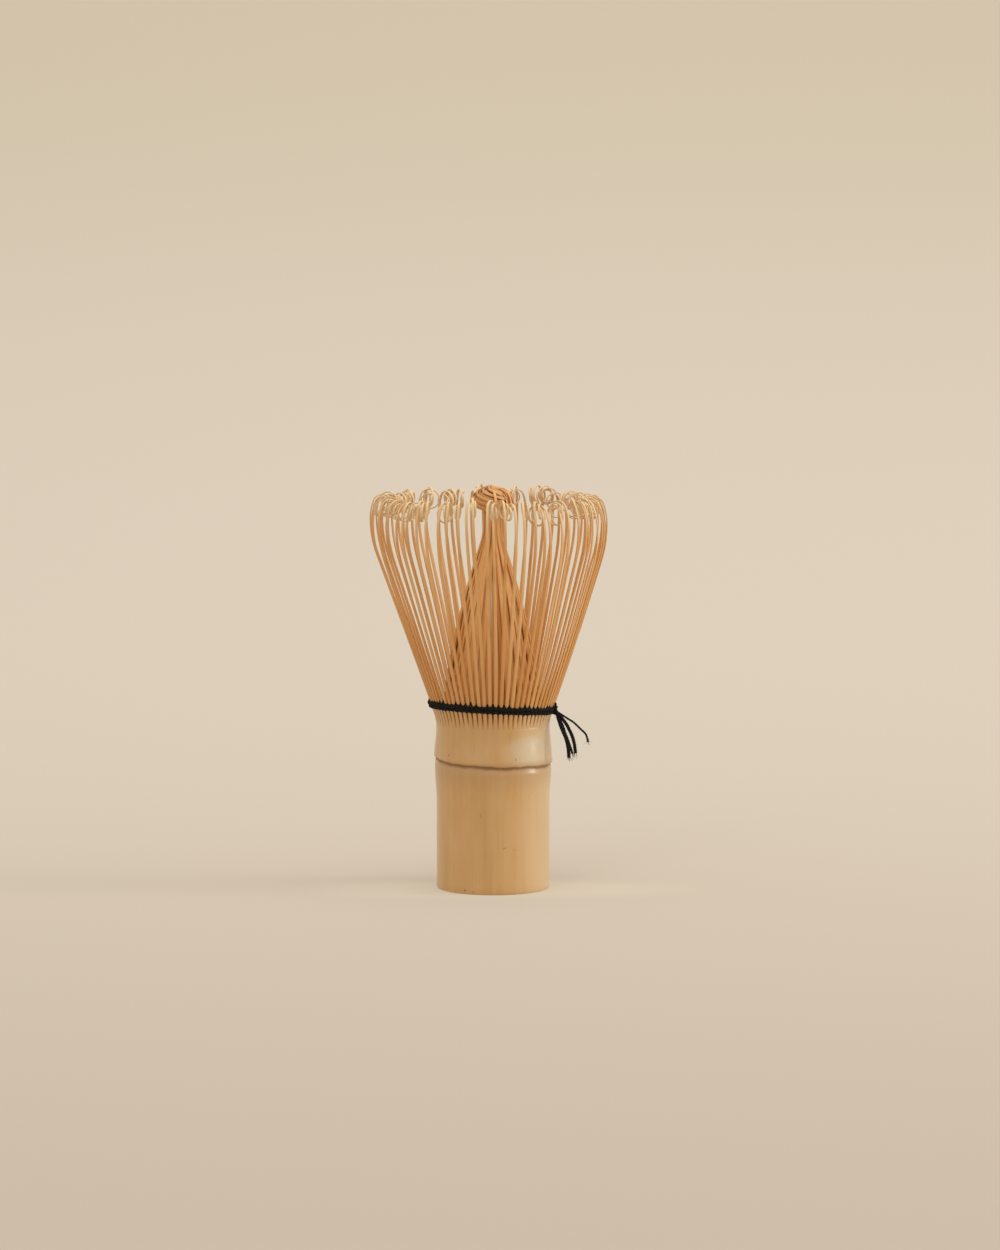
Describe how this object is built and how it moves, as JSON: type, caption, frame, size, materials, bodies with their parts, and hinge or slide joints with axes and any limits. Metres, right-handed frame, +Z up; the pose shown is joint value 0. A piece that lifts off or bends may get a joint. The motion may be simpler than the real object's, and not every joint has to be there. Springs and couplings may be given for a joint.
{
  "type": "bamboo tea whisk",
  "caption": "Bamboo tea whisk standing on its hollow culm handle, with flared curl-tipped outer tines round a conical core and a tied black thread.",
  "frame": {"origin": "centre of the handle's cut foot, on the surface that it stands on", "axes": "+Z up the whisk's own axis towards the tips; +X towards the side of the thread's knot"},
  "size_m": [0.0606, 0.0606, 0.1038],
  "materials": {
    "culm_bamboo": "smooth waxy bamboo skin, satin",
    "tine_bamboo": "shaved bamboo, satin",
    "core_bamboo": "shaved bamboo, satin, a little darker",
    "cotton": "matt black twisted cotton thread"
  },
  "bodies": {
    "handle": {"culm": "culm_bamboo", "thread_lower_turn": "cotton", "thread_upper_turn": "cotton", "thread_inner_turn": "cotton", "thread_knot": "cotton", "thread_end_1": "cotton", "thread_end_2": "cotton", "thread_end_3": "cotton", "thread_end_4": "cotton"},
    "core": {"inner_tines_01": "core_bamboo", "inner_tines_02": "core_bamboo", "inner_tines_03": "core_bamboo", "inner_tines_04": "core_bamboo", "inner_tines_05": "core_bamboo", "inner_tines_06": "core_bamboo", "inner_tines_07": "core_bamboo", "inner_tines_08": "core_bamboo", "inner_tines_09": "core_bamboo", "inner_tines_10": "core_bamboo", "inner_tines_11": "core_bamboo", "inner_tines_12": "core_bamboo", "core_swirl": "core_bamboo"},
    "outer_tines_01": {"outer_tines_01": "tine_bamboo"},
    "outer_tines_02": {"outer_tines_02": "tine_bamboo"},
    "outer_tines_03": {"outer_tines_03": "tine_bamboo"},
    "outer_tines_04": {"outer_tines_04": "tine_bamboo"},
    "outer_tines_05": {"outer_tines_05": "tine_bamboo"},
    "outer_tines_06": {"outer_tines_06": "tine_bamboo"},
    "outer_tines_07": {"outer_tines_07": "tine_bamboo"},
    "outer_tines_08": {"outer_tines_08": "tine_bamboo"},
    "outer_tines_09": {"outer_tines_09": "tine_bamboo"},
    "outer_tines_10": {"outer_tines_10": "tine_bamboo"},
    "outer_tines_11": {"outer_tines_11": "tine_bamboo"},
    "outer_tines_12": {"outer_tines_12": "tine_bamboo"},
    "outer_tines_13": {"outer_tines_13": "tine_bamboo"},
    "outer_tines_14": {"outer_tines_14": "tine_bamboo"},
    "outer_tines_15": {"outer_tines_15": "tine_bamboo"},
    "outer_tines_16": {"outer_tines_16": "tine_bamboo"},
    "outer_tines_17": {"outer_tines_17": "tine_bamboo"},
    "outer_tines_18": {"outer_tines_18": "tine_bamboo"}
  },
  "joints": [
    {"name": "core_sway", "type": "hinge", "parent": "handle", "child": "core", "pos_m": [0, 0, 0.05], "axis": [1, 0, 0], "range_deg": [-4, 4], "stiffness_Nm_per_rad": 0.4},
    {"name": "outer_flex_01", "type": "hinge", "parent": "handle", "child": "outer_tines_01", "pos_m": [0.01665, 0, 0.0497], "axis": [0, 1, 0], "range_deg": [-4.5, 12], "stiffness_Nm_per_rad": 0.01},
    {"name": "outer_flex_02", "type": "hinge", "parent": "handle", "child": "outer_tines_02", "pos_m": [0.01564, 0.00569, 0.0497], "axis": [-0.342, 0.9397, 0], "range_deg": [-4.5, 12], "stiffness_Nm_per_rad": 0.01},
    {"name": "outer_flex_03", "type": "hinge", "parent": "handle", "child": "outer_tines_03", "pos_m": [0.01275, 0.0107, 0.0497], "axis": [-0.6428, 0.766, 0], "range_deg": [-4.5, 12], "stiffness_Nm_per_rad": 0.01},
    {"name": "outer_flex_04", "type": "hinge", "parent": "handle", "child": "outer_tines_04", "pos_m": [0.00832, 0.01442, 0.0497], "axis": [-0.866, 0.5, 0], "range_deg": [-4.5, 12], "stiffness_Nm_per_rad": 0.01},
    {"name": "outer_flex_05", "type": "hinge", "parent": "handle", "child": "outer_tines_05", "pos_m": [0.00289, 0.01639, 0.0497], "axis": [-0.9848, 0.1736, 0], "range_deg": [-4.5, 12], "stiffness_Nm_per_rad": 0.01},
    {"name": "outer_flex_06", "type": "hinge", "parent": "handle", "child": "outer_tines_06", "pos_m": [-0.00289, 0.01639, 0.0497], "axis": [-0.9848, -0.1736, 0], "range_deg": [-4.5, 12], "stiffness_Nm_per_rad": 0.01},
    {"name": "outer_flex_07", "type": "hinge", "parent": "handle", "child": "outer_tines_07", "pos_m": [-0.00832, 0.01442, 0.0497], "axis": [-0.866, -0.5, 0], "range_deg": [-4.5, 12], "stiffness_Nm_per_rad": 0.01},
    {"name": "outer_flex_08", "type": "hinge", "parent": "handle", "child": "outer_tines_08", "pos_m": [-0.01275, 0.0107, 0.0497], "axis": [-0.6428, -0.766, 0], "range_deg": [-4.5, 12], "stiffness_Nm_per_rad": 0.01},
    {"name": "outer_flex_09", "type": "hinge", "parent": "handle", "child": "outer_tines_09", "pos_m": [-0.01564, 0.00569, 0.0497], "axis": [-0.342, -0.9397, 0], "range_deg": [-4.5, 12], "stiffness_Nm_per_rad": 0.01},
    {"name": "outer_flex_10", "type": "hinge", "parent": "handle", "child": "outer_tines_10", "pos_m": [-0.01665, 0, 0.0497], "axis": [0, -1, 0], "range_deg": [-4.5, 12], "stiffness_Nm_per_rad": 0.01},
    {"name": "outer_flex_11", "type": "hinge", "parent": "handle", "child": "outer_tines_11", "pos_m": [-0.01564, -0.00569, 0.0497], "axis": [0.342, -0.9397, 0], "range_deg": [-4.5, 12], "stiffness_Nm_per_rad": 0.01},
    {"name": "outer_flex_12", "type": "hinge", "parent": "handle", "child": "outer_tines_12", "pos_m": [-0.01275, -0.0107, 0.0497], "axis": [0.6428, -0.766, 0], "range_deg": [-4.5, 12], "stiffness_Nm_per_rad": 0.01},
    {"name": "outer_flex_13", "type": "hinge", "parent": "handle", "child": "outer_tines_13", "pos_m": [-0.00832, -0.01442, 0.0497], "axis": [0.866, -0.5, 0], "range_deg": [-4.5, 12], "stiffness_Nm_per_rad": 0.01},
    {"name": "outer_flex_14", "type": "hinge", "parent": "handle", "child": "outer_tines_14", "pos_m": [-0.00289, -0.01639, 0.0497], "axis": [0.9848, -0.1736, 0], "range_deg": [-4.5, 12], "stiffness_Nm_per_rad": 0.01},
    {"name": "outer_flex_15", "type": "hinge", "parent": "handle", "child": "outer_tines_15", "pos_m": [0.00289, -0.01639, 0.0497], "axis": [0.9848, 0.1736, 0], "range_deg": [-4.5, 12], "stiffness_Nm_per_rad": 0.01},
    {"name": "outer_flex_16", "type": "hinge", "parent": "handle", "child": "outer_tines_16", "pos_m": [0.00832, -0.01442, 0.0497], "axis": [0.866, 0.5, 0], "range_deg": [-4.5, 12], "stiffness_Nm_per_rad": 0.01},
    {"name": "outer_flex_17", "type": "hinge", "parent": "handle", "child": "outer_tines_17", "pos_m": [0.01275, -0.0107, 0.0497], "axis": [0.6428, 0.766, 0], "range_deg": [-4.5, 12], "stiffness_Nm_per_rad": 0.01},
    {"name": "outer_flex_18", "type": "hinge", "parent": "handle", "child": "outer_tines_18", "pos_m": [0.01564, -0.00569, 0.0497], "axis": [0.342, 0.9397, 0], "range_deg": [-4.5, 12], "stiffness_Nm_per_rad": 0.01}
  ]
}
